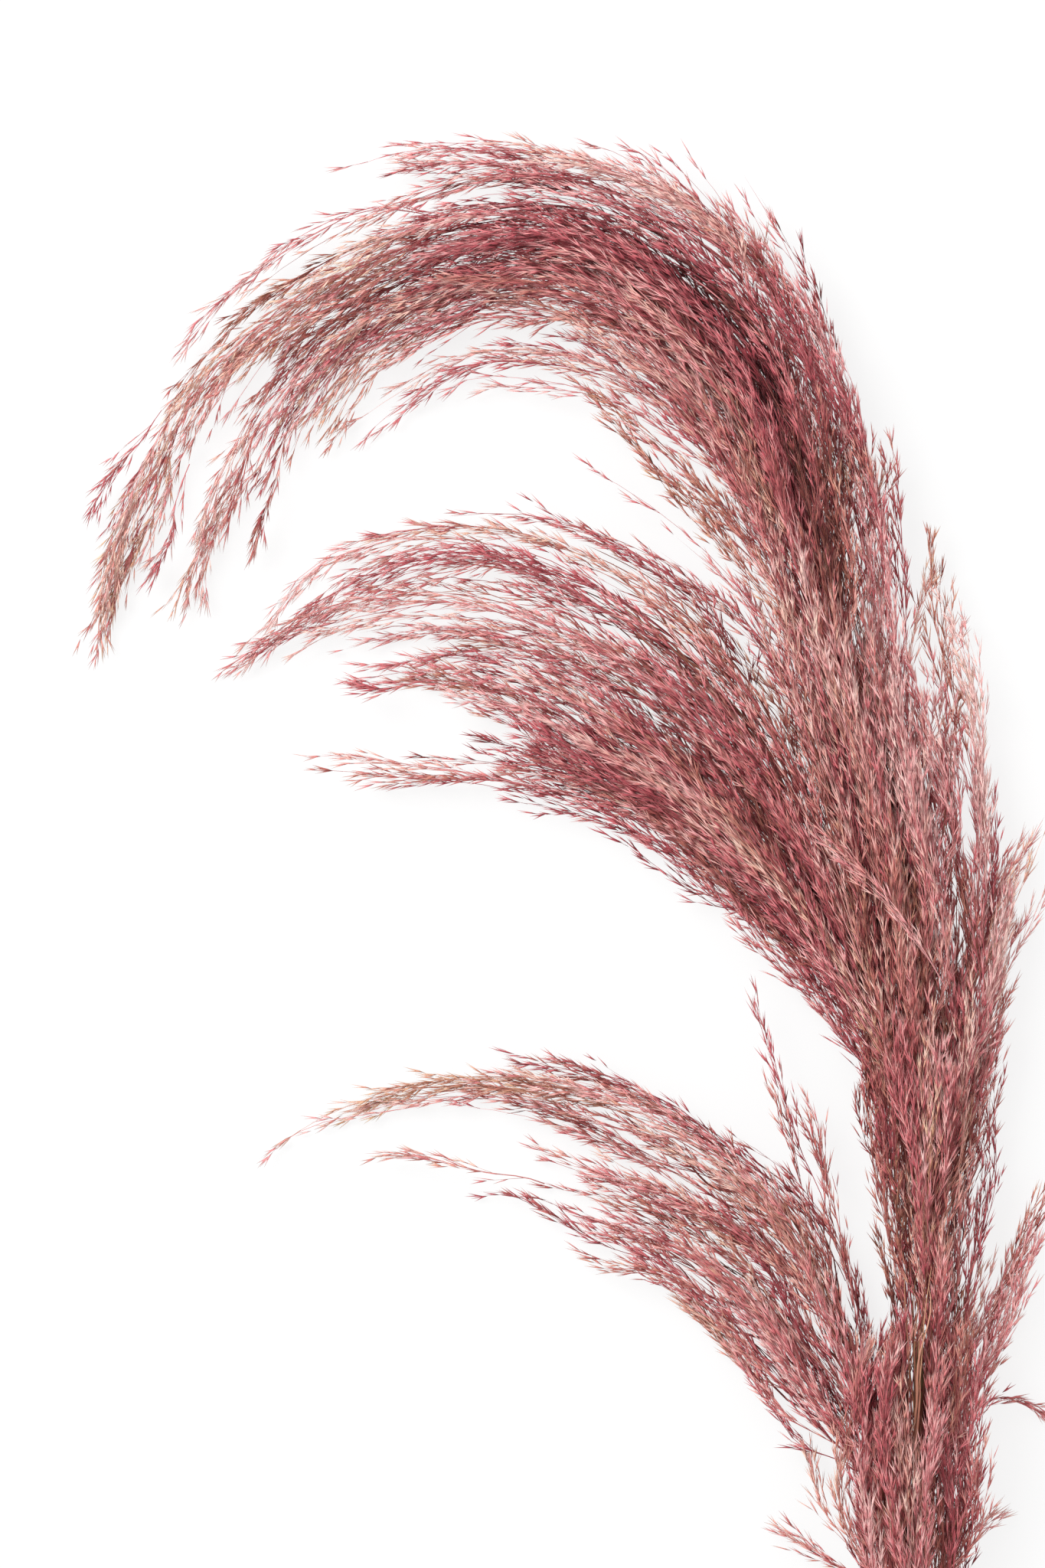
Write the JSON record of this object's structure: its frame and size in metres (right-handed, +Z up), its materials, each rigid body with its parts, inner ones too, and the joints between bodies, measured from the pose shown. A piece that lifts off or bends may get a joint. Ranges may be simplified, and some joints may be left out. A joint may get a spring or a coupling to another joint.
{
  "type": "dried pampas grass plume",
  "caption": "Cut pampas grass plume lying flat: a bare stalk, and feathery sprays that stream from it and arch over to one side.",
  "frame": {"origin": "on the surface that the plume lies on, at the middle of the small flat under the stalk's cut end", "axes": "+Y along the stalk from its cut end towards the plume; +Z up, away from the surface; the plume arches over to -X"},
  "size_m": [0.5407, 0.9717, 0.0747],
  "materials": {
    "stalk": "dry, ribbed, satin",
    "crown_spray": "dry, feathery, matt",
    "middle_spray": "dry, feathery, matt",
    "lower_spray": "dry, feathery, matt",
    "right_spray": "dry, feathery, matt",
    "side_spray": "dry, feathery, matt",
    "foot_spray": "dry, feathery, matt"
  },
  "bodies": {
    "root": {"stalk": "stalk", "crown_spray": "crown_spray", "middle_spray": "middle_spray", "lower_spray": "lower_spray", "right_spray": "right_spray", "side_spray": "side_spray", "foot_spray": "foot_spray"}
  },
  "joints": []
}
